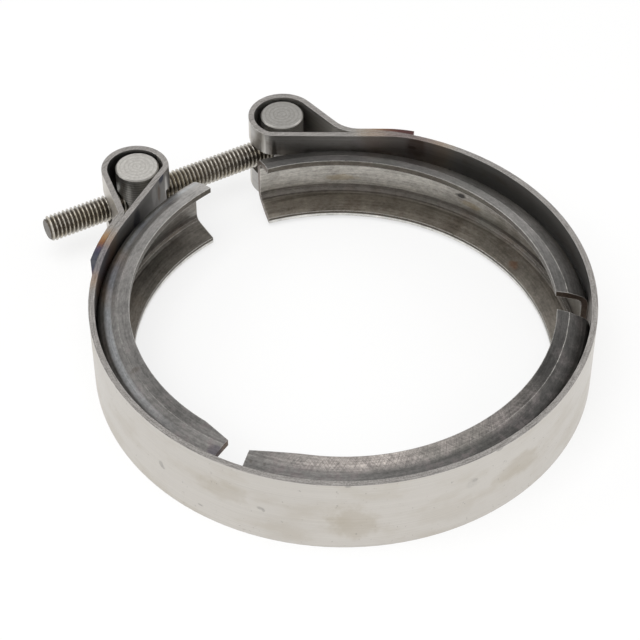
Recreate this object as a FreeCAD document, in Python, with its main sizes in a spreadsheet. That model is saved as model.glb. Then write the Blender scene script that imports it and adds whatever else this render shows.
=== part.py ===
"""V band clamp: a sheet band with two rolled loops, three V retainers and a T bolt.

The frame has its origin at the centre of the ring at mid-height, +Z up along the ring's axis,
+Y towards the gap between the loops and the T bolt along X.  Units are millimetres.
"""
import FreeCAD
import Part
import Sketcher
import math
import os

V = FreeCAD.Vector
doc = FreeCAD.newDocument("v_band_clamp")

# ---------------------------------------------------------------- driving dimensions
DIMENSIONS = {
    # band: ring and strip
    "ring_radius": 54.5,
    "strip_width": 19.1,
    "strip_gauge": 1.3,
    "seam_gap": 0.08,
    # right end of the band: flattened stretch, loop and returned end
    "flat_radius": 25.0,
    "flat_angle": 41.0,
    "right_loop_x": 17.0,
    "right_loop_y": 58.25,
    "right_loop_radius": 6.65,
    "right_corner_x": 13.6,
    "right_corner_radius": 2.8,
    "right_bend_x": 33.8,
    "right_bend_radius": 8.5,
    "right_end_angle": 45.3,
    # left end of the band: loop and returned end
    "left_loop_x": 21.1,
    "left_loop_y": 58.45,
    "left_loop_radius": 6.4,
    "left_corner_x": 16.7,
    "left_corner_radius": 1.8,
    "left_bend_x": 31.86,
    "left_bend_radius": 2.4,
    "left_end_angle": 39.9,
    # slots for the bolt through the walls of the loops
    "slot_height": 7.4,
    "slot_low": 53.9,
    "slot_high": 63.6,
    "left_slot_inner": 10.0,
    "right_slot_inner": 2.4,
    "right_slot_low": 48.0,
    "right_slot_reach": 13.5,
    # spot welds
    "weld_radius": 2.2,
    "weld_depth": 0.9,
    "weld_height": 4.6,
    "right_weld_angle": 51.5,
    "left_weld_angle": 132.0,
    # V retainers
    "retainer_gauge": 1.5,
    "leg_tip_radius": 45.85,
    "leg_crease_radius": 48.5,
    "leg_tip_height": 8.45,
    "leg_crease_height": 7.78,
    "tip_cut": 1.45,
    "leg_slope": 25.0,
    "inner_slope": 18.0,
    "outer_bend": 3.0,
    "inner_bend": 1.7,
    "front_start": -143.0,
    "front_span": 108.4,
    "left_start": 101.0,
    "left_span": 110.3,
    "rear_start": -24.4,
    "rear_span": 104.9,
    "rear_extra_radius": 1.13,
    "rear_shift": 3.0,
    "rear_flattest": 41.8,
    # leg tips and ends dressed back at the gap between the front and left retainers
    "front_tip_loss": 1.8,
    "front_tip_run": 13.0,
    "left_tip_loss": 1.5,
    "left_tip_run": 8.5,
    "left_end_lean": 2.1,
    "trim_overrun": 2.0,
    "trim_depth": 8.0,
    # T bolt and trunnion
    "bolt_line_y": 59.2,
    "bolt_radius": 3.0,
    "bolt_end_x": 43.6,
    "bolt_end_chamfer": 0.7,
    "head_x": 17.4,
    "trunnion_x": 20.3,
    "barrel_radius": 5.0,
    "barrel_half_length": 9.0,
    "barrel_chamfer": 0.35,
    "shank_clearance": 0.08,
}

sheet = doc.addObject("Spreadsheet::Sheet", "sheet")
for row, (alias, value) in enumerate(DIMENSIONS.items(), start=1):
    sheet.set(f"A{row}", alias)
    sheet.set(f"B{row}", str(value))
    sheet.setAlias(f"B{row}", alias)
doc.recompute()


def dim(alias):
    """A driving dimension as a plain number."""
    return float(getattr(sheet, alias))


def datum(sketch, name, kind, *references, expression):
    """Adds a named driving constraint that takes its value from the sheet."""
    index = sketch.addConstraint(Sketcher.Constraint(kind, *references))
    sketch.renameConstraint(index, name)
    sketch.setExpression(f"Constraints.{name}", expression)


START, END, CENTRE = 1, 2, 3
ORIGIN = (-1, 1)


# ---------------------------------------------------------------- band
def polar(radius, angle):
    return V(radius * math.cos(angle), radius * math.sin(angle), 0)


def tangent_heading(first, first_radius, second, second_radius, turns_right):
    """Heading of the line that leaves one circle and meets the other on its far side."""
    across = second - first
    lean = math.asin((first_radius + second_radius) / across.Length)
    return math.atan2(across.y, across.x) + (lean if turns_right else -lean)


class BandEnd:
    """One end of the band, worked out for positive x: ring, straight, corner, loop, leg, bend."""

    def __init__(self, side, ring_centre, ring_radius, bend_centre):
        self.loop = V(dim(f"{side}_loop_x"), dim(f"{side}_loop_y"), 0)
        self.loop_radius = dim(f"{side}_loop_radius")
        self.corner_radius = dim(f"{side}_corner_radius")
        corner_x = dim(f"{side}_corner_x")
        drop = math.sqrt((self.loop_radius - self.corner_radius) ** 2 - (corner_x - self.loop.x) ** 2)
        self.corner = V(corner_x, self.loop.y - drop, 0)
        self.ring_centre = ring_centre
        self.ring_radius = ring_radius
        self.rise = tangent_heading(ring_centre, ring_radius, self.corner, self.corner_radius, True)
        self.bend = bend_centre(self)
        self.bend_radius = dim(f"{side}_bend_radius")
        self.fall = tangent_heading(self.loop, self.loop_radius, self.bend, self.bend_radius, False)


def right_bend_centre(band_end):
    """Centre of the bend whose strip comes to lie along the straight stretch of the band."""
    normal = polar(1.0, band_end.rise - math.pi / 2)
    reach = band_end.ring_radius + dim("seam_gap") + dim("right_bend_radius")
    x = dim("right_bend_x")
    along = (x - band_end.ring_centre.x - reach * normal.x) / normal.y
    return band_end.ring_centre + normal * reach + V(normal.y, -normal.x, 0) * along


def left_bend_centre(band_end):
    """Centre of the bend whose strip comes to lie on the round part of the band."""
    reach = dim("ring_radius") + dim("seam_gap") + dim("left_bend_radius")
    x = dim("left_bend_x")
    return V(x, math.sqrt(reach**2 - x**2), 0)


class StripSketch:
    """Sketch of the band's face line, edge by edge, each edge tangent to the one before it."""

    def __init__(self, name):
        self.sketch = doc.addObject("Sketcher::SketchObject", name)
        self.last = None

    def add(self, shape, enters_at_start):
        index = self.sketch.addGeometry(shape, False)
        entry, leave = (START, END) if enters_at_start else (END, START)
        if self.last is not None:
            self.sketch.addConstraint(Sketcher.Constraint("Tangent", *self.last, index, entry))
        self.last = (index, leave)
        return index

    def arc(self, centre, radius, begin, end, anticlockwise, radius_expression):
        low, high = (begin, end) if anticlockwise else (end, begin)
        while high < low:
            high += 2 * math.pi
        circle = Part.Circle(centre, V(0, 0, 1), radius)
        index = self.add(Part.ArcOfCircle(circle, low, high), anticlockwise)
        datum(self.sketch, f"radius_{index}", "Radius", index, radius, expression=radius_expression)
        return index

    def line(self, begin, end):
        return self.add(Part.LineSegment(begin, end), True)

    def place(self, name, index, point, position, x=None, y=None):
        """Drives the x or y of a point with expressions over the sheet."""
        for axis, value, expression in (("X", position.x, x), ("Y", position.y, y)):
            if expression is not None:
                datum(self.sketch, f"{name}_{axis.lower()}", f"Distance{axis}", *ORIGIN, index, point,
                      value, expression=expression)


def mirrored(point, sign):
    return V(point.x * sign, point.y, 0)


def strip_path():
    """The line of the ring's outer face, which runs on as the inner face of each loop."""
    ring_radius, seam = dim("ring_radius"), dim("seam_gap")
    flat_radius = dim("flat_radius")
    flat_centre = polar(ring_radius - flat_radius, math.radians(dim("flat_angle")))
    right = BandEnd("right", flat_centre, flat_radius, right_bend_centre)
    left = BandEnd("left", V(0, 0, 0), ring_radius, left_bend_centre)
    path = StripSketch("strip_path")
    sketch = path.sketch

    # returned end on the right, its bend, leg, loop, corner and straight stretch
    quarter = math.pi / 2
    end_angle = math.radians(dim("right_end_angle"))
    returned = path.arc(flat_centre, flat_radius + seam, end_angle, right.rise - quarter, True,
                        "sheet.flat_radius + sheet.seam_gap")
    touch = right.bend - polar(right.bend_radius, right.rise - quarter)
    laid_back = path.line(flat_centre + polar(flat_radius + seam, right.rise - quarter), touch)
    bend = path.arc(right.bend, right.bend_radius, right.rise + quarter, right.fall - quarter, False,
                    "sheet.right_bend_radius")
    leg_top = right.loop + polar(right.loop_radius, right.fall + quarter)
    path.line(right.bend + polar(right.bend_radius, right.fall - quarter), leg_top)
    corner_angle = math.atan2(right.corner.y - right.loop.y, right.corner.x - right.loop.x)
    loop = path.arc(right.loop, right.loop_radius, right.fall + quarter, corner_angle, True,
                    "sheet.right_loop_radius")
    corner = path.arc(right.corner, right.corner_radius, corner_angle, right.rise + quarter, True,
                      "sheet.right_corner_radius")
    straight = path.line(right.corner + polar(right.corner_radius, right.rise + quarter),
                         flat_centre + polar(flat_radius, right.rise - quarter))
    flat = path.arc(flat_centre, flat_radius, right.rise - quarter, math.radians(dim("flat_angle")), False,
                    "sheet.flat_radius")

    # the ring, then the left end's straight stretch, corner, loop, leg, bend and returned end
    left_leave = math.pi - (left.rise - quarter)
    ring = path.arc(V(0, 0, 0), ring_radius, math.radians(dim("flat_angle")), left_leave, False,
                    "sheet.ring_radius")
    left_corner = mirrored(left.corner, -1)
    left_loop = mirrored(left.loop, -1)
    left_bend = mirrored(left.bend, -1)
    rise, fall = math.pi - left.rise, math.pi - left.fall
    path.line(polar(ring_radius, left_leave), left_corner + polar(left.corner_radius, rise - quarter))
    left_corner_angle = math.atan2(left_corner.y - left_loop.y, left_corner.x - left_loop.x)
    corner_left = path.arc(left_corner, left.corner_radius, rise - quarter, left_corner_angle, True,
                           "sheet.left_corner_radius")
    loop_left = path.arc(left_loop, left.loop_radius, left_corner_angle, fall - quarter, True,
                         "sheet.left_loop_radius")
    path.line(left_loop + polar(left.loop_radius, fall - quarter),
              left_bend + polar(left.bend_radius, fall + quarter))
    touch_angle = math.atan2(left_bend.y, left_bend.x)
    bend_left = path.arc(left_bend, left.bend_radius, fall + quarter, touch_angle - math.pi, False,
                         "sheet.left_bend_radius")
    left_end = math.pi - math.radians(dim("left_end_angle"))
    returned_left = path.arc(V(0, 0, 0), ring_radius + seam, touch_angle, left_end, True,
                             "sheet.ring_radius + sheet.seam_gap")

    for index in (ring, returned_left):
        sketch.addConstraint(Sketcher.Constraint("Coincident", index, CENTRE, *ORIGIN))
    sketch.addConstraint(Sketcher.Constraint("Coincident", returned, CENTRE, flat, CENTRE))
    sketch.addConstraint(Sketcher.Constraint("Parallel", laid_back, straight))
    path.place("flat", flat, CENTRE, flat_centre,
               x="(sheet.ring_radius - sheet.flat_radius) * cos(sheet.flat_angle * 1deg)")
    path.place("right_end", returned, START, flat_centre + polar(flat_radius + seam, end_angle),
               x="(sheet.ring_radius - sheet.flat_radius) * cos(sheet.flat_angle * 1deg)"
                 " + (sheet.flat_radius + sheet.seam_gap) * cos(sheet.right_end_angle * 1deg)")
    path.place("right_bend", bend, CENTRE, right.bend, x="sheet.right_bend_x")
    path.place("right_loop", loop, CENTRE, right.loop, x="sheet.right_loop_x", y="sheet.right_loop_y")
    path.place("right_corner", corner, CENTRE, right.corner, x="sheet.right_corner_x")
    path.place("left_corner", corner_left, CENTRE, left_corner, x="-sheet.left_corner_x")
    path.place("left_loop", loop_left, CENTRE, left_loop, x="-sheet.left_loop_x", y="sheet.left_loop_y")
    path.place("left_bend", bend_left, CENTRE, left_bend, x="-sheet.left_bend_x")
    path.place("left_end", returned_left, END, polar(ring_radius + seam, left_end),
               x="-(sheet.ring_radius + sheet.seam_gap) * cos(sheet.left_end_angle * 1deg)")
    return sketch, flat_centre


def slot_cutter(name, left_x, right_x, low, high):
    """A box that cuts the bolt's slot through the walls of a loop; its bounds are expressions."""
    cutter = doc.addObject("Part::Box", name)
    cutter.setExpression("Length", f"({right_x}) - ({left_x})")
    cutter.setExpression("Width", f"({high}) - ({low})")
    cutter.setExpression("Height", "sheet.slot_height")
    cutter.setExpression("Placement.Base.x", left_x)
    cutter.setExpression("Placement.Base.y", low)
    cutter.setExpression("Placement.Base.z", "-sheet.slot_height / 2")
    return cutter


def spot_weld(name, centre, radius, angle, height):
    """A weld nugget across the seam between the band and its returned end."""
    nugget = doc.addObject("Part::Cylinder", name)
    nugget.setExpression("Radius", "sheet.weld_radius")
    nugget.setExpression("Height", "2 * sheet.weld_depth")
    outward = polar(1.0, angle)
    inner = centre + outward * (radius + dim("seam_gap") / 2 - dim("weld_depth"))
    turn = FreeCAD.Rotation(V(0, 0, 1), outward)
    nugget.Placement = FreeCAD.Placement(inner + V(0, 0, height), turn)
    return nugget


def make_band():
    """The strip, bent to its path, with slots for the bolt and the returned ends spot welded."""
    path, flat_centre = strip_path()
    section = doc.addObject("Part::Offset2D", "strip_section")
    section.Source = path
    section.Mode = "Skin"
    section.Join = "Intersection"
    section.Fill = True
    section.setExpression("Value", "sheet.strip_gauge")
    strip = doc.addObject("Part::Extrusion", "strip")
    strip.Base = section
    strip.DirMode = "Custom"
    strip.Dir = V(0, 0, 1)
    strip.Solid = True
    strip.Symmetric = True
    strip.setExpression("LengthFwd", "sheet.strip_width")

    slots = [
        slot_cutter("left_slot", "-sheet.left_bend_x - sheet.left_loop_radius", "-sheet.left_slot_inner",
                    "sheet.slot_low", "sheet.slot_high"),
        slot_cutter("right_slot", "sheet.right_slot_inner", "sheet.right_slot_reach",
                    "sheet.right_slot_low", "sheet.slot_high"),
    ]
    cuts = doc.addObject("Part::MultiFuse", "slots")
    cuts.Shapes = slots
    slotted = doc.addObject("Part::Cut", "slotted_strip")
    slotted.Base = strip
    slotted.Tool = cuts

    seams = (
        ("right", flat_centre, dim("flat_radius"), math.radians(dim("right_weld_angle"))),
        ("left", V(0, 0, 0), dim("ring_radius"), math.radians(dim("left_weld_angle"))),
    )
    nuggets = [
        spot_weld(f"{side}_weld_{place}", centre, radius, angle, height)
        for side, centre, radius, angle in seams
        for place, height in (("upper", dim("weld_height")), ("lower", -dim("weld_height")))
    ]
    band = doc.addObject("Part::MultiFuse", "band")
    band.Shapes = [slotted] + nuggets
    return band


# ---------------------------------------------------------------- V retainers
def origin_plane(body, role):
    return next(feature for feature in body.Origin.OriginFeatures if feature.Role == role)


def body_sketch(body, name, role):
    sketch = body.newObject("Sketcher::SketchObject", name)
    sketch.AttachmentSupport = [(origin_plane(body, role), "")]
    sketch.MapMode = "FlatFace"
    return sketch


def rolled_bend(sketch, shape, index, count, from_start):
    """A bend rolled in equal flats, whose corners stand on the construction arc of that index."""
    first, last = (shape.FirstParameter, shape.LastParameter)
    if not from_start:
        first, last = last, first
    corners = [shape.value(first + (last - first) * step / count) for step in range(count + 1)]
    flats = [sketch.addGeometry(Part.LineSegment(*pair), False) for pair in zip(corners, corners[1:])]
    near, far = (START, END) if from_start else (END, START)
    sketch.addConstraint(Sketcher.Constraint("Coincident", flats[0], START, index, near))
    sketch.addConstraint(Sketcher.Constraint("Coincident", flats[-1], END, index, far))
    for before, after in zip(flats, flats[1:]):
        sketch.addConstraint(Sketcher.Constraint("Coincident", before, END, after, START))
        sketch.addConstraint(Sketcher.Constraint("PointOnObject", before, END, index))
        sketch.addConstraint(Sketcher.Constraint("Equal", before, after))


def retainer_profile(body, extra):
    """Upper half of the retainer's section: x is the radius and y the height above the mid-plane."""
    grow = dim(extra) if extra else 0.0
    outer = dim("ring_radius") - dim("strip_gauge") + grow
    inner = outer - dim("retainer_gauge")
    tip_x, crease_x = dim("leg_tip_radius") + grow, dim("leg_crease_radius") + grow
    tip_y, crease_y = dim("leg_tip_height"), dim("leg_crease_height")
    cut_y = tip_y - dim("tip_cut")
    slope, inner_slope = math.radians(dim("leg_slope")), math.radians(dim("inner_slope"))
    bend, inner_bend = dim("outer_bend"), dim("inner_bend")

    bend_x = outer - bend
    top_x = bend_x + bend * math.sin(slope)
    top_y = crease_y - (top_x - crease_x) * math.tan(slope)
    bend_y = top_y - bend * math.cos(slope)
    inner_x = inner - inner_bend
    foot_x = inner_x + inner_bend * math.sin(inner_slope)
    foot_y = cut_y - (foot_x - tip_x) * math.tan(inner_slope)
    inner_y = foot_y - inner_bend * math.cos(inner_slope)

    sketch = body_sketch(body, body.Name + "_profile", "XZ_Plane")
    points = {
        "web_foot": V(outer, 0, 0),
        "web_top": V(outer, bend_y, 0),
        "facet_foot": V(top_x, top_y, 0),
        "crease": V(crease_x, crease_y, 0),
        "tip": V(tip_x, tip_y, 0),
        "cut": V(tip_x, cut_y, 0),
        "leg_foot": V(foot_x, foot_y, 0),
        "inner_top": V(inner, inner_y, 0),
        "inner_foot": V(inner, 0, 0),
    }
    axis = V(0, 0, 1)
    arc_out = Part.ArcOfCircle(Part.Circle(V(bend_x, bend_y, 0), axis, bend), 0, math.pi / 2 - slope)
    corner = Part.Circle(V(inner_x, inner_y, 0), axis, inner_bend)
    arc_in = Part.ArcOfCircle(corner, 0, math.pi / 2 - inner_slope)
    web_out = sketch.addGeometry(Part.LineSegment(points["web_foot"], points["web_top"]), False)
    bend_out = sketch.addGeometry(arc_out, True)
    facet = sketch.addGeometry(Part.LineSegment(points["facet_foot"], points["crease"]), False)
    tip_facet = sketch.addGeometry(Part.LineSegment(points["crease"], points["tip"]), False)
    tip_cut = sketch.addGeometry(Part.LineSegment(points["tip"], points["cut"]), False)
    leg = sketch.addGeometry(Part.LineSegment(points["cut"], points["leg_foot"]), False)
    bend_in = sketch.addGeometry(arc_in, True)
    web_in = sketch.addGeometry(Part.LineSegment(points["inner_top"], points["inner_foot"]), False)
    floor = sketch.addGeometry(Part.LineSegment(points["inner_foot"], points["web_foot"]), False)

    def join(kind, first, first_point, second, second_point):
        sketch.addConstraint(Sketcher.Constraint(kind, first, first_point, second, second_point))

    join("Tangent", web_out, END, bend_out, START)
    join("Tangent", bend_out, END, facet, START)
    join("Coincident", facet, END, tip_facet, START)
    join("Coincident", tip_facet, END, tip_cut, START)
    join("Coincident", tip_cut, END, leg, START)
    join("Tangent", leg, END, bend_in, END)
    join("Tangent", bend_in, START, web_in, START)
    rolled_bend(sketch, arc_out, bend_out, 4, True)
    rolled_bend(sketch, arc_in, bend_in, 3, False)
    join("Coincident", web_in, END, floor, START)
    join("Coincident", floor, END, web_out, START)
    for index in (web_out, tip_cut):
        sketch.addConstraint(Sketcher.Constraint("Vertical", index))
    sketch.addConstraint(Sketcher.Constraint("Horizontal", floor))
    sketch.addConstraint(Sketcher.Constraint("PointOnObject", web_out, START, -1))
    sketch.addConstraint(Sketcher.Constraint("Vertical", web_in))

    shift = f" + sheet.{extra}" if extra else ""
    web = "sheet.ring_radius - sheet.strip_gauge" + shift

    def drive(name, axis, index, point, value, expression):
        datum(sketch, name, f"Distance{axis}", *ORIGIN, index, point, value, expression=expression)

    drive("web_outer", "X", web_out, START, outer, web)
    drive("web_inner", "X", web_in, END, inner, web + " - sheet.retainer_gauge")
    drive("tip_x", "X", tip_cut, START, tip_x, "sheet.leg_tip_radius" + shift)
    drive("tip_y", "Y", tip_cut, START, tip_y, "sheet.leg_tip_height")
    drive("cut_y", "Y", tip_cut, END, cut_y, "sheet.leg_tip_height - sheet.tip_cut")
    drive("crease_x", "X", tip_facet, START, crease_x, "sheet.leg_crease_radius" + shift)
    drive("crease_y", "Y", tip_facet, START, crease_y, "sheet.leg_crease_height")
    drive("bend_y", "Y", bend_out, CENTRE, bend_y,
          "sheet.leg_crease_height - (" + web + " - sheet.outer_bend * (1 - sin(sheet.leg_slope * 1deg))"
          " - (sheet.leg_crease_radius" + shift + ")) * tan(sheet.leg_slope * 1deg)"
          " - sheet.outer_bend * cos(sheet.leg_slope * 1deg)")
    drive("inner_y", "Y", bend_in, CENTRE, inner_y,
          "sheet.leg_tip_height - sheet.tip_cut - (" + web + " - sheet.retainer_gauge"
          " - sheet.inner_bend * (1 - sin(sheet.inner_slope * 1deg))"
          " - (sheet.leg_tip_radius" + shift + ")) * tan(sheet.inner_slope * 1deg)"
          " - sheet.inner_bend * cos(sheet.inner_slope * 1deg)")
    datum(sketch, "outer_bend", "Radius", bend_out, bend, expression="sheet.outer_bend")
    datum(sketch, "inner_bend", "Radius", bend_in, inner_bend, expression="sheet.inner_bend")
    return sketch


def make_retainer(name, span, start_angle, extra=None):
    """A V retainer: its half section turned about its own axis and mirrored in the mid-plane."""
    body = doc.addObject("PartDesign::Body", name)
    body.Label = name
    profile = retainer_profile(body, extra)
    doc.recompute()
    turned = body.newObject("PartDesign::Revolution", name + "_upper_half")
    turned.Profile = profile
    turned.ReferenceAxis = (profile, ["V_Axis"])
    turned.setExpression("Angle", span)
    doc.recompute()
    whole = body.newObject("PartDesign::Mirrored", name + "_whole")
    whole.Originals = [turned]
    whole.MirrorPlane = (origin_plane(body, "XY_Plane"), [""])
    body.Tip = whole
    body.Placement.Rotation = FreeCAD.Rotation(V(0, 0, 1), start_angle)
    return body


def trim(body, name, begin, end):
    """Cuts off what lies to the right of a line through two points, seen from above."""
    along = (end - begin).normalize()
    overrun, depth = dim("trim_overrun"), dim("trim_depth")
    cutter = body.newObject("PartDesign::SubtractiveBox", name)
    cutter.Length = (end - begin).Length + 2 * overrun
    cutter.setExpression("Width", "sheet.trim_depth")
    cutter.setExpression("Height", "2 * sheet.strip_width")
    base = begin - along * overrun + V(along.y, -along.x, 0) * depth - V(0, 0, dim("strip_width"))
    cutter.Placement = FreeCAD.Placement(base, FreeCAD.Rotation(V(1, 0, 0), along))
    body.Tip = cutter


def trim_front(body):
    """The front retainer's tips are dressed back towards its left end."""
    tip = dim("leg_tip_radius")
    near = polar(tip, math.radians(dim("front_tip_run")))
    trim(body, "front_tips", near, polar(tip + dim("front_tip_loss"), 0))


def trim_left(body):
    """The left retainer's front end leans, and its tips are dressed back towards that end."""
    tip, end = dim("leg_tip_radius"), math.radians(dim("left_span"))
    foot = polar(dim("ring_radius"), end - math.radians(dim("left_end_lean")))
    trim(body, "left_end", foot, polar(tip, end))
    near = polar(tip, end - math.radians(dim("left_tip_run")))
    trim(body, "left_tips", polar(tip + dim("left_tip_loss"), end), near)


def make_retainers():
    """Three retainers; the rear one is rolled flatter and stands off the band along its middle."""
    front = make_retainer("retainer_front", "sheet.front_span", dim("front_start"))
    trim_front(front)
    left = make_retainer("retainer_left", "sheet.left_span", dim("left_start"))
    trim_left(left)
    rear = make_retainer("retainer_rear", "sheet.rear_span", dim("rear_start"), "rear_extra_radius")
    rear.Placement.Base = polar(-dim("rear_shift"), math.radians(dim("rear_flattest")))
    return [front, left, rear]


# ---------------------------------------------------------------- T bolt and trunnion
def circle_sketch(body, name, role, radius, expression):
    sketch = body_sketch(body, name, role)
    circle = sketch.addGeometry(Part.Circle(V(0, 0, 0), V(0, 0, 1), radius), False)
    sketch.addConstraint(Sketcher.Constraint("Coincident", circle, CENTRE, *ORIGIN))
    datum(sketch, "radius", "Radius", circle, radius, expression=expression)
    return sketch


def make_barrel(name, centre_x, hole_expression, through):
    """A turned pin that stands in a loop, chamfered at both ends, with a cross hole for the shank."""
    body = doc.addObject("PartDesign::Body", name)
    body.Label = name
    pad = body.newObject("PartDesign::Pad", name + "_pin")
    pad.Profile = circle_sketch(body, name + "_round", "XY_Plane", dim("barrel_radius"),
                                "sheet.barrel_radius")
    pad.SideType = "Symmetric"
    pad.setExpression("Length", "2 * sheet.barrel_half_length")
    doc.recompute()
    chamfer = body.newObject("PartDesign::Chamfer", name + "_chamfer")
    rims = [f"Edge{i}" for i, edge in enumerate(pad.Shape.Edges, start=1)
            if isinstance(edge.Curve, Part.Circle)]
    chamfer.Base = (pad, rims)
    chamfer.setExpression("Size", "sheet.barrel_chamfer")
    doc.recompute()
    hole = body.newObject("PartDesign::Pocket", name + "_cross_hole")
    hole.Profile = circle_sketch(body, name + "_hole", "YZ_Plane", dim("bolt_radius"), hole_expression)
    if through:
        hole.SideType = "Symmetric"
        hole.setExpression("Length", "4 * sheet.barrel_radius")
    else:
        hole.setExpression("Length", "2 * sheet.barrel_radius")
    body.Placement.Base = V(centre_x, dim("bolt_line_y"), 0)
    return body


def make_shank():
    """The bolt's shank, from its seat in the cross pin to its chamfered free end."""
    body = doc.addObject("PartDesign::Body", "t_bolt_shank")
    body.Label = "t_bolt_shank"
    pad = body.newObject("PartDesign::Pad", "shank_rod")
    pad.Profile = circle_sketch(body, "shank_round", "YZ_Plane", dim("bolt_radius"), "sheet.bolt_radius")
    pad.setExpression("Length", "sheet.head_x + sheet.bolt_end_x")
    doc.recompute()
    end_x = max(vertex.X for vertex in pad.Shape.Vertexes)
    rims = [f"Edge{i}" for i, edge in enumerate(pad.Shape.Edges, start=1)
            if isinstance(edge.Curve, Part.Circle) and abs(edge.Curve.Center.x - end_x) < 1e-6]
    chamfer = body.newObject("PartDesign::Chamfer", "shank_end")
    chamfer.Base = (pad, rims)
    chamfer.setExpression("Size", "sheet.bolt_end_chamfer")
    body.Placement = FreeCAD.Placement(V(dim("head_x"), dim("bolt_line_y"), 0),
                                       FreeCAD.Rotation(V(0, 0, 1), 180))
    return body


# ---------------------------------------------------------------- build, check and write
def check(part):
    """Stops the build where a part is missing, invalid or not one solid."""
    shape = part.Shape
    if shape.isNull() or not shape.isValid() or len(shape.Solids) != 1 or shape.Volume <= 0:
        raise RuntimeError(f"{part.Label} is not one valid solid")
    print(f"{part.Label}: {shape.Volume:.1f} mm3, {len(shape.Faces)} faces")


def main():
    parts = [make_band()] + make_retainers()
    parts.append(make_shank())
    parts.append(make_barrel("t_bolt_head", dim("head_x"), "sheet.bolt_radius", False))
    parts.append(make_barrel("trunnion", -dim("trunnion_x"),
                             "sheet.bolt_radius + sheet.shank_clearance", True))
    doc.recompute()
    failed = [obj.Name for obj in doc.Objects if "Invalid" in obj.State or "Error" in obj.State]
    if failed:
        raise RuntimeError(f"failed objects: {failed}")
    loose = [obj.Name for obj in doc.Objects
             if obj.TypeId == "Sketcher::SketchObject" and not obj.FullyConstrained]
    if loose:
        raise RuntimeError(f"sketches with free dimensions: {loose}")
    os.makedirs("parts", exist_ok=True)
    for part in parts:
        check(part)
    for part in parts:
        part.Shape.exportStep(f"parts/{part.Label}.step")


main()
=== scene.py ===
"""Looks of the v band clamp: brushed strip, V retainers, threaded T bolt and turned pins.

Materials work in the row frame, in millimetres: Z is the ring's axis, and the clamp's opening is at +Y.
"""
import bpy
import math
from mathutils import Matrix, Vector


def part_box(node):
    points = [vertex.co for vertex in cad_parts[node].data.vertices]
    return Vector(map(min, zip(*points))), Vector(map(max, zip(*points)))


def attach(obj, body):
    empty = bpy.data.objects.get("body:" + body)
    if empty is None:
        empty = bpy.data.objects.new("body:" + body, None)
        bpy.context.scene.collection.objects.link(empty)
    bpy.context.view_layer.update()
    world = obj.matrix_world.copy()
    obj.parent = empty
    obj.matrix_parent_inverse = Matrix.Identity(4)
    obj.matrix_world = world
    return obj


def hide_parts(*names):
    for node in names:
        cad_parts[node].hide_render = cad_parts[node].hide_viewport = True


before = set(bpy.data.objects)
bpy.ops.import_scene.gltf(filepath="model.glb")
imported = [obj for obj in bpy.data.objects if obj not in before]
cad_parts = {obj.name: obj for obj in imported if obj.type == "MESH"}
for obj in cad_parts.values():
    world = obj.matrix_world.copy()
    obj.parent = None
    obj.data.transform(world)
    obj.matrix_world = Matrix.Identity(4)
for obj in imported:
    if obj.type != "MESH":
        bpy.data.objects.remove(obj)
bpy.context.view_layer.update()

MM = 0.001


# ---------------------------------------------------------------- places on the part
BAND_LOW, BAND_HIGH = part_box("band")
SHANK_LOW, SHANK_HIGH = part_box("t_bolt_shank")
HEAD_LOW, HEAD_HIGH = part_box("t_bolt_head")
TRUNNION_LOW, TRUNNION_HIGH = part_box("trunnion")
RING_RADIUS = BAND_HIGH.x
RETURNED_STRIP_RADIUS = 55.2 * MM
RING_TO_RETURNED_STRIP = 54.3, 54.7         # radii in mm
HEAD_CENTRE = (HEAD_LOW + HEAD_HIGH) / 2
TRUNNION_CENTRE = (TRUNNION_LOW + TRUNNION_HIGH) / 2
SHANK_AXIS = (SHANK_LOW + SHANK_HIGH) / 2
SHANK_RADIUS = (SHANK_HIGH.z - SHANK_LOW.z) / 2

THREAD_PITCH = 1.0 * MM
THREAD_DEPTH = 0.61 * MM
THREAD_CREST, THREAD_ROOT = 0.14, 0.20      # shares of the pitch
THREAD_STEPS, THREAD_SEGMENTS = 12, 56      # along each pitch, and round the bolt
END_CHAMFER = 0.7 * MM

# where each retainer is rolled about, and how much larger its radii are than the front one's, in mm
RING_CENTRE = (0.0, 0.0)
REAR_CENTRE = (-2.236, -2.0)
REAR_EXTRA_RADIUS = 1.13

# a retainer's section in mm: radii about its centre, and heights above and below mid-height
CREASE_RADIUS = 48.5
OUTER_BEND_HIGHLIGHT_RADIUS = 50.6
GROUND_RADII = 49.8, 47.8
WEB_TO_BEND = 3.4, 3.9
BEND_TO_FLANK = 5.1, 5.8
TIP_CUT_HEIGHTS = 6.8, 7.05
LIP_HEIGHTS = 7.6, 7.8


def on_ring(angle, height, radius=RING_RADIUS):
    """A point in metres; its angle is in degrees from +X and its height in mm."""
    turn = math.radians(angle)
    return Vector((radius * math.cos(turn), radius * math.sin(turn), height * MM))


# ---------------------------------------------------------------- tables of the looks
DARK_STEEL = (0.36, 0.345, 0.325)
BROWN = (0.31, 0.245, 0.14)
OXIDE = (0.10, 0.085, 0.075)
RUST = (0.22, 0.10, 0.045)
WORN_EDGE_AND_GLINT = (0.68, 0.665, 0.63)
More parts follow.
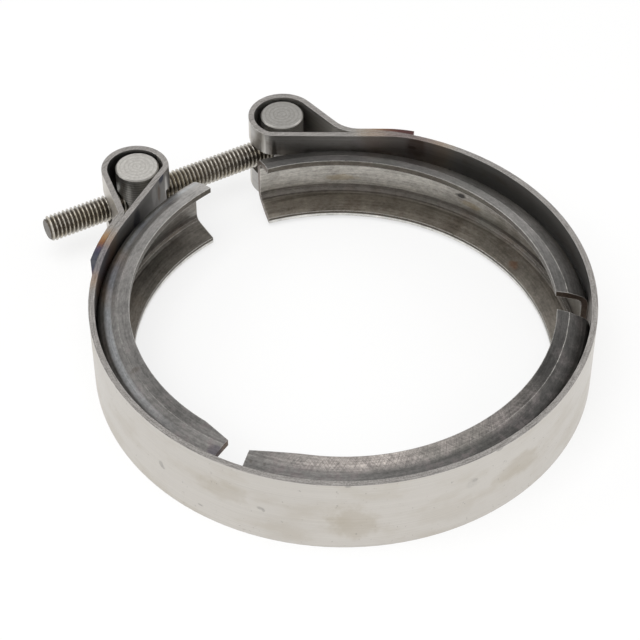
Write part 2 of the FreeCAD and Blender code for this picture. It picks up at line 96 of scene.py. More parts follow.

# values that change round the ring: (degrees, value), in order from 90 degrees on round
# the inside walls' tone: partly the steel's own tone, partly painted light and shade
INSIDE_TONE_AND_SHADE = ((100, 0.21), (150, 0.22), (-150, 0.30), (-60, 0.42), (-30, 0.32), (0, 0.26),
               (28, 0.27), (42, 0.50), (55, 0.75), (66, 0.60), (76, 0.46))
# the legs' tone: partly the steel's own tone, partly painted light and shade
LEG_TONE_AND_SHADE = ((100, 0.38), (118, 0.29), (135, 0.25), (150, 0.24), (178, 0.17), (-165, 0.14),
            (-150, 0.215), (-122, 0.21), (-100, 0.135), (-85, 0.095), (-72, 0.07), (-55, 0.065),
            (-38, 0.095), (-24, 0.12), (5, 0.28), (20, 0.20), (33, 0.17), (60, 0.085), (80, 0.095))
# the web's tone: partly the steel's own tone, partly painted light and shade
WEB_TONE_AND_SHADE = ((100, 0.26), (112, 0.20), (135, 0.16), (-150, 0.20), (-60, 0.20), (0, 0.30),
            (40, 0.42), (85, 0.46))
# painted shade in the groove's bends
BEND_SHADE = ((100, 0.10), (150, 0.08), (-150, 0.08), (0, 0.085), (60, 0.12), (85, 0.14))
# the flanks' tone: partly the steel's own tone, partly painted light and shade
FLANK_TONE_AND_SHADE = ((100, 0.11), (140, 0.15), (-150, 0.15), (0, 0.27), (50, 0.37), (85, 0.36))
# strength of the painted highlight along the legs' outer bend
OUTER_BEND_HIGHLIGHT = ((100, 0.25), (112, 0.6), (140, 0.95), (155, 0.9), (172, 0.4), (-174, 0.2), (-160, 0.0),
          (80, 0.0))
SMEAR = ((100, 0.1), (150, 0.25), (-170, 0.4), (-150, 0.6), (-95, 0.5), (-60, 0.25), (0, 0.15),
         (80, 0.15))
GROUND = ((-145, 0.0), (-134, 0.3), (-124, 0.85), (-108, 0.95), (-98, 0.6), (-82, 0.5),
          (-70, 0.25), (-58, 0.0))
# strength of the painted highlight along the legs' crease
CREASE_HIGHLIGHT = ((100, 0.35), (150, 0.25), (-150, 0.15), (-100, 0.05), (-60, 0.35), (-35, 0.8),
          (0, 0.75), (30, 0.25), (70, 0.3))
# strength of the pale edges: partly real wear, partly painted highlight
EDGE_WEAR_AND_GLINT = ((100, 0.8), (170, 0.55), (-150, 0.35), (-70, 0.45), (-35, 0.8), (10, 0.7),
             (60, 0.55), (80, 0.7))

# stains of the outer face: degrees and height of the centre, half extents in mm, strength
FACE_STAINS = (
    (-117.5, -1.5, (7.5, 5.0, 6.5), 0.25),
    (-78.5, 0.5, (8.5, 6.0, 4.0), 0.22),
    (-146.0, 1.5, (7.0, 7.0, 4.0), 0.17),
    (-97.0, -3.5, (9.0, 3.0, 3.5), 0.10),
)
# nicks and spots of the outer face and rim, in the same terms
FACE_NICKS = (
    (-162.8, -0.9, (0.5, 0.9, 1.2), 0.6),
    (-162.2, -1.6, (0.5, 0.8, 0.5), 0.5),
    (-137.5, -0.4, (0.9, 0.9, 0.5), 0.6),
    (-136.8, -0.9, (0.5, 0.5, 0.7), 0.55),
    (-152.0, -6.4, (0.8, 0.8, 0.3), 0.7),
    (-118.7, 9.4, (0.9, 0.9, 0.5), 0.9),
    (-91.3, 2.9, (1.8, 1.8, 1.6), 0.18),
    (-90.6, 3.4, (0.8, 0.5, 0.6), 0.4),
    (-43.3, 6.6, (1.2, 1.2, 1.2), 0.4),
    (-84.7, 9.4, (1.1, 0.9, 0.5), 0.7),
)
# marks on the band's walls that face the ring's middle, and painted highlights on the loops' walls: centre
# and half extents in mm, strength, colour
WALL_MARKS_AND_HIGHLIGHTS = (
    # painted highlights on the right loop's walls: the lit patch below the bolt and the pale upright stripes
    ((12.0, 52.0, -6.0), (5.0, 5.0, 4.5), 1.0, (0.82, 0.79, 0.73)),
    ((9.9, 54.6, 5.0), (0.9, 0.9, 7.0), 0.9, (0.72, 0.70, 0.66)),
    ((11.8, 52.8, 4.0), (0.8, 0.8, 5.0), 0.85, (0.09, 0.08, 0.07)),
    ((13.5, 51.7, 4.0), (0.9, 0.9, 5.0), 0.4, (0.60, 0.57, 0.53)),
    ((18.5, 48.9, 1.0), (2.0, 2.0, 6.0), 0.4, (0.20, 0.18, 0.16)),
    ((30.3, 42.1, 7.5), (5.0, 5.0, 2.4), 0.7, (0.62, 0.58, 0.59)),
    ((39.6, 35.3, 7.5), (3.0, 3.6, 4.5), 0.5, (0.12, 0.07, 0.045)),
    ((39.1, 36.0, 6.8), (1.3, 1.3, 0.6), 0.5, (0.06, 0.055, 0.05)),
    ((-17.3, 52.9, 9.0), (1.5, 1.5, 1.9), 0.95, (0.03, 0.033, 0.055)),
    # painted highlight: a lit upright stripe on the left loop's wall
    ((-15.7, 54.0, 5.0), (0.7, 0.7, 4.5), 0.75, (0.62, 0.61, 0.59)),
    ((-14.6, 54.8, 5.0), (0.6, 0.6, 5.0), 0.6, (0.06, 0.055, 0.055)),
    ((-18.4, 52.1, 5.6), (0.8, 0.8, 3.2), 0.7, (0.13, 0.08, 0.05)),
    ((-20.2, 50.9, 6.5), (1.4, 1.4, 3.5), 0.45, (0.48, 0.47, 0.46)),
    ((-26.9, 46.1, 5.5), (2.0, 2.0, 4.0), 0.8, (0.05, 0.052, 0.07)),
)
# spots on the retainers, in the same terms
RETAINER_SPOTS = (
    ((44.46, 22.70, -0.1), (1.1, 2.0, 0.8), 0.85, (0.035, 0.034, 0.034)),
    ((46.56, 2.76, -6.4), (1.6, 1.8, 1.2), 0.6, RUST),
    ((24.87, 43.34, -1.6), (5.0, 5.0, 1.3), 0.45, BROWN),
    ((45.8, 19.9, -1.7), (3.0, 4.0, 1.1), 0.45, BROWN),
    ((-43.96, -25.03, 6.8), (2.0, 2.0, 2.0), 0.5, (0.06, 0.05, 0.075)),
    ((-39.09, -30.89, 7.5), (0.6, 0.6, 0.6), 0.5, OXIDE),
    ((-37.0, -33.0, 7.5), (0.45, 0.45, 0.45), 0.5, OXIDE),
    ((-48.3, 2.7, 7.8), (1.8, 1.0, 1.0), 0.5, OXIDE),
)
# heat tints at the ends of the returned strips: degrees and height of the centre, reach in mm,
# and colours from the centre outwards
HEAT_TINTS = (
    (139.5, 9.0, 11.0, ((0.0, (0.07, 0.075, 0.095)), (0.14, (0.035, 0.04, 0.07)),
                        (0.30, (0.075, 0.055, 0.095)), (0.46, (0.23, 0.095, 0.035)),
                        (0.64, (0.34, 0.20, 0.095)), (1.0, (0.35, 0.30, 0.23)))),
    (44.0, 9.0, 14.0, ((0.0, (0.075, 0.03, 0.03)), (0.22, (0.09, 0.025, 0.022)),
                       (0.40, (0.15, 0.065, 0.035)), (0.62, (0.33, 0.20, 0.10)),
                       (0.85, (0.42, 0.32, 0.20)), (1.0, (0.36, 0.33, 0.28)))),
)
HEAD_END_TONE, TRUNNION_END_TONE = 0.35, 0.54
FACETS_SMOOTHED, THREAD_SMOOTHED = 26, 40      # degrees: flatter edges are shaded smooth


# ---------------------------------------------------------------- node graphs
class Graph:
    """Builds one procedural metal."""

    def __init__(self, name):
        self.material = bpy.data.materials.new(name)
        self.material.use_nodes = True
        self.tree = self.material.node_tree
        self.shader = self.tree.nodes["Principled BSDF"]
        self.shader.inputs["Metallic"].default_value = 1.0
        place = self.tree.nodes.new("ShaderNodeTexCoord").outputs["Object"]
        self.point = self.vector("SCALE", place, scale=1 / MM)
        self.x, self.y, self.z = self.split(self.point)
        self.radius = self.length(self.x, self.y)
        # the angle's jump from 180 to -180 falls in the clamp's own opening, at 90 degrees from +X
        self.angle = self.math("ARCTAN2", self.x, self.multiply(self.y, -1.0))
        self.along = self.multiply(self.angle, RING_RADIUS / MM)
        self.around = self.combine(self.along, self.radius, self.z)
        self.normal = self.tree.nodes.new("ShaderNodeNewGeometry").outputs["Normal"]
        nx, ny, self.normal_z = self.split(self.normal)
        self.facing_up = self.math("ABSOLUTE", self.normal_z)
        inward = self.add(self.multiply(nx, self.x), self.multiply(ny, self.y))
        self.facing_in = self.math("LESS_THAN", inward, 0.0)
        sideways = self.subtract(self.multiply(nx, self.y), self.multiply(ny, self.x))
        self.facing_along = self.math("DIVIDE", self.math("ABSOLUTE", sideways), self.radius)

    def put(self, value, socket):
        """Links a socket, or sets a number, vector or colour."""
        if isinstance(value, bpy.types.NodeSocket):
            self.tree.links.new(value, socket)
        elif isinstance(value, tuple) and len(value) == 3 and socket.type == "RGBA":
            socket.default_value = (*value, 1.0)
        else:
            socket.default_value = value

    def math(self, operation, a, b=None):
        node = self.tree.nodes.new("ShaderNodeMath")
        node.operation = operation
        self.put(a, node.inputs[0])
        if b is not None:
            self.put(b, node.inputs[1])
        return node.outputs[0]

    def add(self, first, *others):
        for other in others:
            first = self.math("ADD", first, other)
        return first

    def subtract(self, a, b):
        return self.math("SUBTRACT", a, b)

    def multiply(self, first, *others):
        for other in others:
            first = self.math("MULTIPLY", first, other)
        return first

    def swing(self, noise, amount):
        """Noise about 0, over the given amount."""
        return self.multiply(self.subtract(noise, 0.5), amount)

    def vector(self, operation, a, b=None, scale=None):
        node = self.tree.nodes.new("ShaderNodeVectorMath")
        node.operation = operation
        self.put(a, node.inputs[0])
        if b is not None:
            self.put(b, node.inputs[1])
        if scale is not None:
            self.put(scale, node.inputs["Scale"])
        return node.outputs["Value" if operation in ("LENGTH", "DOT_PRODUCT") else "Vector"]

    def length(self, x, y):
        return self.math("SQRT", self.add(self.multiply(x, x), self.multiply(y, y)))

    def split(self, vector):
        node = self.tree.nodes.new("ShaderNodeSeparateXYZ")
        self.put(vector, node.inputs[0])
        return node.outputs

    def combine(self, x, y, z):
        node = self.tree.nodes.new("ShaderNodeCombineXYZ")
        for value, socket in zip((x, y, z), node.inputs):
            self.put(value, socket)
        return node.outputs[0]

    def noise(self, stretch=(1, 1, 1), scale=1.0, detail=4.0, roughness=0.55, vector=None, seed=0.0):
        """Noise from 0 to 1 about 0.5, over points stretched by the given factors per millimetre."""
        source = self.point if vector is None else vector
        moved = self.vector("MULTIPLY_ADD", source, stretch)
        moved.node.inputs[2].default_value = (seed, seed * 1.7, seed * 0.6)
        node = self.tree.nodes.new("ShaderNodeTexNoise")
        self.put(moved, node.inputs["Vector"])
        self.put(scale, node.inputs["Scale"])
        self.put(detail, node.inputs["Detail"])
        self.put(roughness, node.inputs["Roughness"])
        return node.outputs["Fac"]

    def ramp(self, value, low, high, out_low=0.0, out_high=1.0):
        """Maps value from low..high to out_low..out_high, smoothly and clamped."""
        node = self.tree.nodes.new("ShaderNodeMapRange")
        node.interpolation_type = "SMOOTHSTEP"
        for socket, number in zip(node.inputs, (value, low, high, out_low, out_high)):
            self.put(number, socket)
        return node.outputs[0]

    def colours(self, value, stops):
        """The colour at value on a ramp of (place, colour) stops."""
        node = self.tree.nodes.new("ShaderNodeValToRGB")
        self.put(value, node.inputs[0])
        elements = node.color_ramp.elements
        while len(elements) < len(stops):
            elements.new(0.5)
        for element, (place, colour) in zip(elements, stops):
            element.position = place
            element.color = (*colour, 1.0)
        return node.outputs[0]

    def mix(self, factor, a, b, blend="MIX"):
        node = self.tree.nodes.new("ShaderNodeMix")
        node.data_type = "RGBA"
        node.blend_type = blend
        self.put(factor, node.inputs[0])
        self.put(a, node.inputs[6])
        self.put(b, node.inputs[7])
        return node.outputs[2]

    def tinted(self, stops, tint):
        """A value that changes round the ring, multiplied by a colour."""
        return self.mix(1.0, self.by_angle(stops), tint, "MULTIPLY")

    def by_angle(self, stops):
        """A grey that changes round the ring; stops are (degrees, value), from 90 on round."""
        turn = self.add(self.math("DIVIDE", self.angle, 2 * math.pi), 0.5)
        return self.colours(turn, [((degrees + 270) % 360 / 360, (value,) * 3) for degrees, value in stops])

    def near(self, value, place, half_width, softness=1.0):
        """1 where value is within half_width of place, falling to 0 over softness half widths."""
        away = self.math("ABSOLUTE", self.subtract(value, place))
        return self.ramp(away, half_width * (1 + softness), half_width)

    def rounded_normal(self, width):
        """The normal with the solid's sharp edges rounded over the given width in mm."""
        bevel = self.tree.nodes.new("ShaderNodeBevel")
        bevel.samples = 4
        bevel.inputs["Radius"].default_value = width * MM
        return bevel.outputs[0]

    def edges(self, width):
        """1 along the sharp edges of the solid, over the given width in mm, and 0 elsewhere."""
        return self.ramp(self.vector("DOT_PRODUCT", self.rounded_normal(width), self.normal), 0.99, 0.90)

    def patch(self, centre, size, ragged=0.35, seed=0.0):
        """A soft-edged patch: 1 inside, 0 outside; centre in metres, size its half extents in mm."""
        offset = self.vector("SUBTRACT", self.point, tuple(c / MM for c in centre))
        away = self.vector("LENGTH", self.vector("DIVIDE", offset, tuple(size)))
        return self.ramp(self.add(away, self.swing(self.noise(scale=0.35, seed=seed), ragged * 4)), 1.0, 0.45)

    def finish(self, colour, roughness, height, depth, edge):
        """Links the shader, with a bump of the given depth over edges rounded by edge, both in mm."""
        bump = self.tree.nodes.new("ShaderNodeBump")
        bump.inputs["Strength"].default_value = 1.0
        bump.inputs["Distance"].default_value = depth * MM
        self.put(height, bump.inputs["Height"])
        self.put(self.rounded_normal(edge), bump.inputs["Normal"])
        self.put(bump.outputs[0], self.shader.inputs["Normal"])
        self.put(colour, self.shader.inputs["Base Color"])
        self.put(roughness, self.shader.inputs["Roughness"])
        return self.material


# ---------------------------------------------------------------- materials
def band_face(g, brush, cloud):
    """The strip's outer face: brushed, clouded, with stains and nicks."""
    face = g.mix(g.ramp(brush, 0.3, 0.7), (0.565, 0.538, 0.50), (0.655, 0.627, 0.588))
    face = g.mix(g.ramp(cloud, 0.46, 0.70, 0.0, 0.40), face, (0.50, 0.455, 0.385))
    for number, (angle, height, size, amount) in enumerate(FACE_STAINS):
        stain = g.patch(on_ring(angle, height), size, seed=number * 3.1)
        face = g.mix(g.multiply(stain, amount), face, BROWN)
    for angle, height, size, amount in FACE_NICKS:
        nick = g.patch(on_ring(angle, height), size, 0.3, seed=angle)
        face = g.mix(g.multiply(nick, amount), face, DARK_STEEL)
    return face


def band_inside(g, brush, cloud):
    """The strip's walls that face the ring's middle: dull, lighter and darker round the ring partly as
    painted light and shade, with marks from the tools and the welds and painted highlights on the loops'
    walls.
    """
    brushed = g.mix(g.ramp(brush, 0.3, 0.7), (0.84, 0.81, 0.77), (1.12, 1.09, 1.05))
    # lighter and darker round the ring: partly painted light and shade
    inside = g.tinted(INSIDE_TONE_AND_SHADE, brushed)
    inside = g.mix(g.ramp(cloud, 0.5, 0.7, 0.0, 0.5), inside, (0.20, 0.16, 0.125))
    for centre, size, amount, tint in WALL_MARKS_AND_HIGHLIGHTS:
        # tool and weld marks, and painted highlights on the loops' walls
        wall_patch = g.patch(Vector(centre) * MM, size, 0.15, seed=centre[0])
        inside = g.mix(g.multiply(wall_patch, amount), inside, tint)
    return inside


def band_rim(g, grit):
    """The strip's sheared edges: gritty, with dark and bright lines along them."""
    drag = g.noise((0.25, 3.4, 0.6), detail=5, roughness=0.7, vector=g.around, seed=4)
    rim = g.mix(g.ramp(grit, 0.34, 0.66), (0.24, 0.225, 0.213), (0.42, 0.40, 0.38))
    rim = g.mix(g.ramp(drag, 0.50, 0.62, 0.0, 0.6), rim, (0.14, 0.132, 0.125))
    return g.mix(g.ramp(drag, 0.42, 0.34, 0.0, 0.5), rim, (0.58, 0.56, 0.53))


def heat_tinted(g, colour, cloud, grit):
    """Heat tints round the welds of the returned strips, weaker on the ring itself."""
    flicker = g.add(g.swing(cloud, 6.0), g.swing(grit, 5.0))
    on_strip = g.ramp(g.radius, *RING_TO_RETURNED_STRIP, 0.4, 1.0)
    for angle, height, reach, stops in HEAT_TINTS:
        centre = tuple(on_ring(angle, height, RETURNED_STRIP_RADIUS) / MM)
        heat = g.add(g.vector("LENGTH", g.vector("SUBTRACT", g.point, centre)), flicker)
        tint = g.colours(g.math("DIVIDE", heat, reach), stops)
        strength = g.multiply(g.ramp(heat, reach, reach * 0.65, 0.0, 0.92), on_strip)
        colour = g.mix(strength, colour, tint)
    return colour


def band_material():
    """Strip steel brushed along its length, sheared rims, stains, tool marks and heat tint, with painted
    light, shade and highlights on its inner walls and edges.
    """
    g = Graph("band_steel")
    brush = g.noise((0.02, 0.02, 6.0), detail=6, roughness=0.7)
    fine_brush = g.noise((0.12, 0.12, 22.0), detail=5, roughness=0.7, seed=3)
    cloud = g.noise((0.07, 0.07, 0.16), detail=5, roughness=0.62, seed=8)
    speck = g.noise((1.2, 1.2, 1.2), detail=3, roughness=0.6, seed=5)
    grit = g.noise((2.6, 2.6, 2.6), detail=5, roughness=0.75, seed=2)
    is_rim = g.ramp(g.facing_up, 0.7, 0.9)

    colour = g.mix(g.facing_in, band_face(g, brush, cloud), band_inside(g, brush, cloud))
    colour = g.mix(is_rim, colour, band_rim(g, grit))
    # sharp edges painted paler: partly wear, partly painted highlight
    colour = g.mix(g.multiply(g.edges(0.14), 0.4), colour, (0.66, 0.65, 0.63))
    colour = heat_tinted(g, colour, cloud, grit)
    colour = g.mix(g.ramp(speck, 0.66, 0.74, 0.0, 0.35), colour, OXIDE)

    dents = g.add(*(g.patch(on_ring(angle, height), size, 0.15, seed=angle)
                    for angle, height, size, _ in FACE_NICKS))
    relief = g.subtract(g.multiply(fine_brush, 0.25), g.multiply(dents, 1.2))
    relief = g.add(relief, g.multiply(grit, is_rim, 0.6), g.multiply(cloud, 0.8))
    roughness = g.add(g.ramp(brush, 0.3, 0.7, 0.30, 0.42), g.multiply(cloud, 0.12))
    return g.finish(colour, roughness, relief, depth=0.05, edge=0.18)


def retainer_groove(g, height_off, cloud):
    """The groove's side: a paler web, bends darkened with painted shade and brown flanks."""
    # web and flanks lighter and darker round the ring, partly as painted light and shade
    web = g.tinted(WEB_TONE_AND_SHADE, (1.0, 0.955, 0.88))
    bend_shade = g.tinted(BEND_SHADE, (1.0, 0.90, 0.80))
    flank = g.tinted(FLANK_TONE_AND_SHADE, (1.0, 0.915, 0.80))
    groove = g.mix(g.ramp(height_off, *WEB_TO_BEND), web, bend_shade)
    groove = g.mix(g.ramp(height_off, *BEND_TO_FLANK), groove, flank)
    return g.mix(g.ramp(cloud, 0.50, 0.68, 0.0, 0.35), groove, (0.10, 0.075, 0.055))


def crossed_scratches(g):
    """Fine scratches in two crossing directions, from 0 to 1."""
    scratches = []
    for lean, seed in ((0.7, 1), (-0.9, 31)):
        leaning = g.combine(g.add(g.along, g.multiply(g.radius, lean)), g.radius, g.z)
        lines = g.noise((3.6, 0.35, 0.4), detail=6, roughness=0.75, vector=leaning, seed=seed)
        scratches.append(g.multiply(lines, 0.5))
    return g.ramp(g.add(*scratches), 0.38, 0.62)


def retainer_legs(g, radius, cloud, blotch, grain, scratches, ground):
    """The legs' outer side: a painted highlight along the outer bend, smears, ground steel at the front and a
    painted highlight along the crease.
    """
    # lighter and darker round the ring, partly as painted light and shade
    legs = g.tinted(LEG_TONE_AND_SHADE, (1.0, 0.965, 0.925))
    # painted highlight: a pale bluish stripe along the legs' outer bend
    outer_bend_highlight = g.multiply(g.near(radius, OUTER_BEND_HIGHLIGHT_RADIUS, 0.35, 1.8), g.by_angle(OUTER_BEND_HIGHLIGHT))
    legs = g.mix(outer_bend_highlight, legs, (0.53, 0.555, 0.58))
    smear = g.multiply(g.ramp(blotch, 0.50, 0.62), g.by_angle(SMEAR))
    legs = g.mix(smear, legs, (0.16, 0.135, 0.135))
    legs = g.mix(ground, legs, g.mix(scratches, (0.22, 0.20, 0.19), (0.60, 0.545, 0.505)))
    # painted highlight: a pale, broken line along the crease
    crease_highlight = g.near(g.add(radius, g.swing(cloud, 0.5)), CREASE_RADIUS, 0.04, 1.4)
    crease_highlight = g.multiply(crease_highlight, g.ramp(grain, 0.40, 0.58, 0.25, 1.0), g.by_angle(CREASE_HIGHLIGHT))
    return g.mix(crease_highlight, legs, (0.62, 0.60, 0.56))


def retainer_material(name, centre, extra_radius):
    """Rolled steel, with painted shade in its bends, cut edges, worn corners painted pale (partly painted
    highlights) and spots.
    """
    g = Graph(name)
    radius = g.subtract(g.length(g.subtract(g.x, centre[0]), g.subtract(g.y, centre[1])), extra_radius)
    roll = g.noise((0.05, 2.0, 2.6), detail=5, roughness=0.65, vector=g.around, seed=7)
    grain = g.noise((0.8, 2.0, 2.0), detail=7, roughness=0.85, vector=g.around, seed=15)
    cloud = g.noise((0.10, 0.10, 0.12), detail=5, roughness=0.62, seed=11)
    blotch = g.noise((0.28, 0.28, 0.28), detail=6, roughness=0.7, seed=12)
    green = g.noise((0.06, 0.06, 0.10), detail=3, seed=21)
    scratches = crossed_scratches(g)
    ground = g.multiply(g.by_angle(GROUND), g.ramp(radius, *GROUND_RADII))
    height_off = g.math("ABSOLUTE", g.z)
    outside = g.math("GREATER_THAN", g.multiply(g.z, g.normal_z), 0.0)
    is_leg = g.multiply(outside, g.ramp(g.facing_up, 0.15, 0.5))

    colour = g.mix(is_leg, retainer_groove(g, height_off, cloud),
                   retainer_legs(g, radius, cloud, blotch, grain, scratches, ground))
    # the upper legs' cut faces are painted dark and the lower legs' lips pale; the pale lip is a painted
    # highlight
    tip_cut = g.multiply(g.ramp(height_off, *TIP_CUT_HEIGHTS), g.facing_in,
                         g.math("LESS_THAN", g.facing_up, 0.3))
    lower_lip = g.multiply(g.ramp(height_off, *LIP_HEIGHTS), g.math("LESS_THAN", g.z, 0.0))
    colour = g.mix(tip_cut, colour, g.mix(lower_lip, (0.10, 0.088, 0.075), (0.66, 0.65, 0.62)))
    cut_end = g.ramp(g.facing_along, 0.6, 0.8)
    colour = g.mix(cut_end, colour, (0.17, 0.13, 0.105))
    mottle = g.add(g.ramp(roll, 0.34, 0.66, 0.34, 0.64), g.ramp(grain, 0.36, 0.64, 0.30, 0.70))
    mottle = g.multiply(mottle, g.ramp(blotch, 0.36, 0.64, 0.86, 1.14))
    colour = g.vector("SCALE", colour, scale=mottle)
    colour = g.mix(g.ramp(green, 0.55, 0.70, 0.0, 0.18), colour, (0.15, 0.165, 0.135))
    # edges painted pale: partly real wear, partly painted highlight along them
    worn_and_glinting = g.multiply(g.edges(0.3), g.by_angle(EDGE_WEAR_AND_GLINT), g.ramp(grain, 0.3, 0.5))
    colour = g.mix(worn_and_glinting, colour, WORN_EDGE_AND_GLINT)
    for number, (place, size, amount, tint) in enumerate(RETAINER_SPOTS):
        spot = g.patch(Vector(place) * MM, size, seed=number * 2.3)
        colour = g.mix(g.multiply(spot, amount), colour, tint)

    relief = g.add(g.multiply(roll, 0.5), g.multiply(grain, 0.5), g.multiply(scratches, ground, 0.8))
    roughness = g.ramp(roll, 0.25, 0.75, 0.30, 0.46)
    return g.finish(colour, roughness, relief, depth=0.04, edge=0.2)


def pin_material(name, centre, end_tone):
    """Turned steel: concentric tool rings on the ends and round the side."""
    g = Graph(name)
    away = g.length(g.subtract(g.x, centre.x / MM), g.subtract(g.y, centre.y / MM))
    wobble = g.multiply(g.noise(scale=0.6, detail=3), 0.35)
    grain = g.noise((1.6, 1.6, 1.6), detail=5, roughness=0.7, seed=13)
    end_rings = g.math("SINE", g.multiply(g.add(away, wobble), 6.6))
    side_rings = g.math("SINE", g.multiply(g.add(g.z, wobble), 9.0))
    is_end = g.ramp(g.facing_up, 0.7, 0.95)
    light, dark, ring = (tuple(end_tone * part for part in colour) for colour in (
        (1.12, 1.09, 1.03), (0.82, 0.79, 0.74), (0.62, 0.59, 0.55)))
    end_colour = g.mix(g.ramp(grain, 0.3, 0.7), dark, light)
    end_colour = g.mix(g.ramp(end_rings, 0.0, 1.0, 0.0, 0.35), end_colour, ring)
    side_colour = g.mix(g.ramp(side_rings, -0.6, 0.8), (0.30, 0.29, 0.27), (0.44, 0.43, 0.41))
    rings = g.mix(is_end, side_rings, end_rings)
    return g.finish(colour=g.mix(is_end, side_colour, end_colour),
                    roughness=g.ramp(grain, 0.3, 0.7, 0.38, 0.55),
                    height=g.add(g.multiply(rings, 0.25), g.multiply(grain, 0.6)),
                    depth=0.02, edge=0.15)


def bolt_material():
    """Bright thread with its valleys painted dark as painted shade, and a slight straw tint."""
    g = Graph("bolt_steel")
    from_axis = g.length(g.subtract(g.y, SHANK_AXIS.y / MM), g.z)
    grain = g.noise((1.0, 2.2, 2.2), detail=5, roughness=0.7, seed=17)
    cloud = g.noise((0.12, 0.3, 0.3), detail=4, seed=19)
    crest = g.mix(g.ramp(grain, 0.35, 0.65), (0.36, 0.335, 0.29), (0.62, 0.59, 0.54))
    crest = g.mix(g.ramp(cloud, 0.45, 0.65, 0.0, 0.5), crest, (0.46, 0.41, 0.31))
    is_crest = g.ramp(from_axis, SHANK_RADIUS / MM - THREAD_DEPTH / MM, SHANK_RADIUS / MM - 0.2)
    # the thread's valleys painted dark: painted shade
    return g.finish(colour=g.mix(is_crest, (0.10, 0.085, 0.068), crest),
                    roughness=g.ramp(grain, 0.3, 0.7, 0.24, 0.42),
                    height=g.multiply(grain, 0.6), depth=0.02, edge=0.05)


# ---------------------------------------------------------------- pieces
def thread_radius(turn, x):
    """Radius of the thread at a place along the bolt and round it (turn in whole turns)."""
    phase = (x / THREAD_PITCH + turn) % 1.0
    flank = (1.0 - THREAD_CREST - THREAD_ROOT) / 2
    if phase < THREAD_CREST:
        cut = 0.0
    elif phase < THREAD_CREST + flank:
        cut = (phase - THREAD_CREST) / flank
    elif phase < THREAD_CREST + flank + THREAD_ROOT:
        cut = 1.0
    else:
        cut = (1.0 - phase) / flank
    return SHANK_RADIUS - THREAD_DEPTH * cut


def threaded_shank():
    """A solid rod with a rolled M6 thread along its whole length and a chamfered free end."""
    length = SHANK_HIGH.x - SHANK_LOW.x
    rings = round(length / THREAD_PITCH * THREAD_STEPS)
    segments = THREAD_SEGMENTS
    verts, faces = [], []
    for i in range(rings + 1):
        along = length * i / rings
        chamfer = SHANK_RADIUS - END_CHAMFER + min(along, END_CHAMFER)
        for j in range(segments):
            turn = j / segments
            radius = min(thread_radius(turn, along), chamfer)
            swing = 2 * math.pi * turn
            verts.append((SHANK_LOW.x + along, SHANK_AXIS.y + radius * math.cos(swing),
                          SHANK_AXIS.z + radius * math.sin(swing)))
    for i in range(rings):
        for j in range(segments):
            a, b = i * segments + j, i * segments + (j + 1) % segments
            faces.append((a, a + segments, b + segments, b))
    faces.append(tuple(range(segments)))
    faces.append(tuple(reversed(range(rings * segments, (rings + 1) * segments))))
    shank = new_mesh("threaded_shank", verts, faces, bolt_material())
    shade(shank, THREAD_SMOOTHED)
    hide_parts("t_bolt_shank")
    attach(shank, "t_bolt")


def new_mesh(name, verts, faces, material):
    """A mesh object in the scene, with its material."""
    mesh = bpy.data.meshes.new(name)
    mesh.from_pydata(verts, [], faces)
    mesh.update()
    mesh.materials.append(material)
    return linked(name, mesh)


def linked(name, data):
    """An object with the given data, in the scene."""
    made = bpy.data.objects.new(name, data)
    bpy.context.scene.collection.objects.link(made)
    return made


def shade(obj, sharp_degrees):
    """Smooth shading with edges sharper than the given angle kept hard."""
    obj.data.polygons.foreach_set("use_smooth", [True] * len(obj.data.polygons))
    split = obj.modifiers.new("sharp_edges", "EDGE_SPLIT")
    split.split_angle = math.radians(sharp_degrees)


def dress_cad_nodes():
    """Gives each CAD node that stays its material."""
    retainer = retainer_material("retainer_steel", RING_CENTRE, 0.0)
    materials = {
        "band": band_material(),
        "t_bolt_head": pin_material("head_steel", HEAD_CENTRE, HEAD_END_TONE),
        "trunnion": pin_material("trunnion_steel", TRUNNION_CENTRE, TRUNNION_END_TONE),
        "retainer_rear": retainer_material("rear_retainer_steel", REAR_CENTRE, REAR_EXTRA_RADIUS),
        "retainer_front": retainer,
        "retainer_left": retainer,
    }
    for name, material in materials.items():
        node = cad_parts[name]
        node.data.materials.clear()
        node.data.materials.append(material)
        shade(node, FACETS_SMOOTHED)


# ---------------------------------------------------------------- stage, light and camera
CAMERA_DISTANCE = 468.0 * MM
CAMERA_AZIMUTH, CAMERA_ELEVATION = -30.03, 45.25                    # degrees
CAMERA_ROLL, CAMERA_PAN, CAMERA_TILT = 0.0063, -0.01059, 0.00152    # radians
CAMERA_LENS, CAMERA_SENSOR = 121.0, 36.0                            # millimetres
CAMERA_CLIP = 0.01, 20.0                                            # metres
FLOOR_HALF_SIZE = 2.0
FLOOR_COLOUR = (0.95, 0.95, 0.945)
# share of plain white in what the camera and the metal see of the floor
FLOOR_GLOW = 0.72
STUDIO_COLOUR = (0.45, 0.45, 0.445)
WHITE = (1, 1, 1, 1)
# name, azimuth and elevation in degrees, distance and size in metres, power, shown in the metal
LAMPS = (
    ("overhead", -60, 70, 1.0, 0.9, 7.0, False),
    ("left_box", -120, 35, 0.9, 0.35, 1.2, True),
    ("right_box", 70, 30, 0.9, 0.35, 1.0, True),
)


def direction(azimuth, elevation):
    """The unit vector from the ring towards a viewpoint or a lamp, angles in degrees."""
    a, e = math.radians(azimuth), math.radians(elevation)
    return Vector((math.sin(a) * math.cos(e), -math.cos(a) * math.cos(e), math.sin(e)))


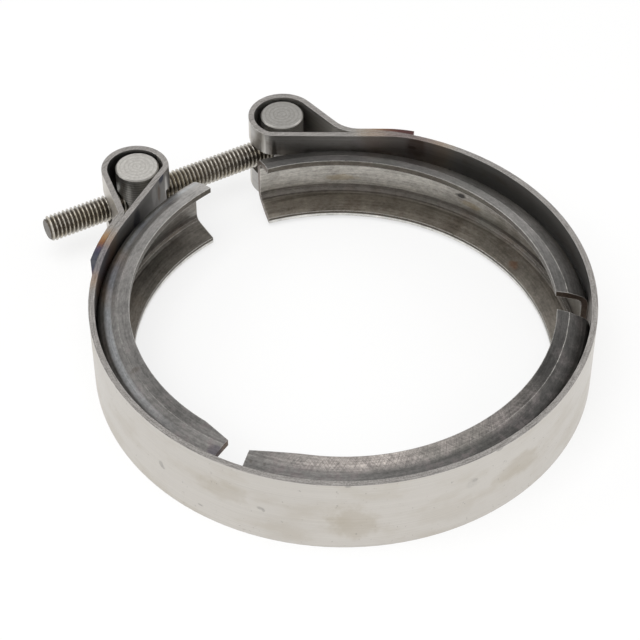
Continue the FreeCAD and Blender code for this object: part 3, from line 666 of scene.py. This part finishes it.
def make_camera():
    """A long lens at 45 degrees above the ground, on the side of the bolt's free end."""
    back = direction(CAMERA_AZIMUTH, CAMERA_ELEVATION)
    forward = -back
    azimuth = math.radians(CAMERA_AZIMUTH)
    right = Vector((math.cos(azimuth), math.sin(azimuth), 0))
    turn = (Matrix.Rotation(CAMERA_TILT, 3, right) @ Matrix.Rotation(-CAMERA_PAN, 3, right.cross(forward))
            @ Matrix.Rotation(-CAMERA_ROLL, 3, forward))
    forward, right = turn @ forward, turn @ right
    up = right.cross(forward)
    data = bpy.data.cameras.new("camera")
    data.lens = CAMERA_LENS
    data.sensor_width = CAMERA_SENSOR
    data.clip_start, data.clip_end = CAMERA_CLIP
    camera = linked("camera", data)
    camera.matrix_world = (Matrix.Translation(back * CAMERA_DISTANCE)
                           @ Matrix((right, up, -forward)).transposed().to_4x4())
    bpy.context.scene.camera = camera


def seen_directly(tree):
    """1 for rays from the camera, and for those that metal or glass sends on."""
    path = tree.nodes.new("ShaderNodeLightPath")
    seen = path.outputs["Is Camera Ray"]
    for ray in ("Is Glossy Ray", "Is Transmission Ray"):
        add = tree.nodes.new("ShaderNodeMath")
        add.operation = "ADD"
        add.use_clamp = True
        tree.links.new(seen, add.inputs[0])
        tree.links.new(path.outputs[ray], add.inputs[1])
        seen = add.outputs[0]
    return seen


def mixed_shader(tree, factor, first, second, output):
    """Links the mix of two shader nodes to the output node's surface."""
    mix = tree.nodes.new("ShaderNodeMixShader")
    tree.links.new(factor, mix.inputs[0])
    tree.links.new(first.outputs[0], mix.inputs[1])
    tree.links.new(second.outputs[0], mix.inputs[2])
    tree.links.new(mix.outputs[0], output.inputs["Surface"])


def floor_material():
    """White, partly glowing to the camera, so that it keeps only part of the object's shadow."""
    material = bpy.data.materials.new("floor_white")
    material.use_nodes = True
    tree = material.node_tree
    shader = tree.nodes["Principled BSDF"]
    shader.inputs["Roughness"].default_value = 0.9
    shader.inputs["Specular IOR Level"].default_value = 0.0
    shader.inputs["Base Color"].default_value = (*FLOOR_COLOUR, 1)
    glow = tree.nodes.new("ShaderNodeEmission")
    glow.inputs["Color"].default_value = WHITE
    share = tree.nodes.new("ShaderNodeMath")
    share.operation = "MULTIPLY"
    share.inputs[1].default_value = FLOOR_GLOW
    tree.links.new(seen_directly(tree), share.inputs[0])
    mixed_shader(tree, share.outputs[0], shader, glow, tree.nodes["Material Output"])
    return material


def make_floor():
    """A plain floor under the band's lower rim."""
    size, level = FLOOR_HALF_SIZE, BAND_LOW.z
    corners = [(-size, -size, level), (size, -size, level), (size, size, level), (-size, size, level)]
    floor = new_mesh("floor", corners, [(0, 1, 2, 3)], floor_material())


def make_world():
    """A white studio to the camera and in the metal, which lights the object a little from all round."""
    world = bpy.data.worlds.new("studio")
    bpy.context.scene.world = world
    world.use_nodes = True
    tree = world.node_tree
    tree.nodes.clear()
    output = tree.nodes.new("ShaderNodeOutputWorld")
    studio, shown = (tree.nodes.new("ShaderNodeBackground") for _ in range(2))
    studio.inputs["Color"].default_value = (*STUDIO_COLOUR, 1)
    shown.inputs["Color"].default_value = WHITE
    mixed_shader(tree, seen_directly(tree), studio, shown, output)


def make_lamp(name, azimuth, elevation, distance, size, power, mirrored):
    """A square soft light aimed at the ring; mirrored says whether the metal shows it."""
    data = bpy.data.lights.new(name, "AREA")
    data.energy = power
    data.size = size
    lamp = linked(name, data)
    back = direction(azimuth, elevation)
    lamp.location = back * distance
    lamp.rotation_euler = (-back).to_track_quat("-Z", "Y").to_euler()
    lamp.visible_glossy = mirrored


bpy.context.scene.view_settings.view_transform = "Standard"
make_camera()
make_floor()
make_world()
for lamp in LAMPS:
    make_lamp(*lamp)
dress_cad_nodes()
threaded_shank()
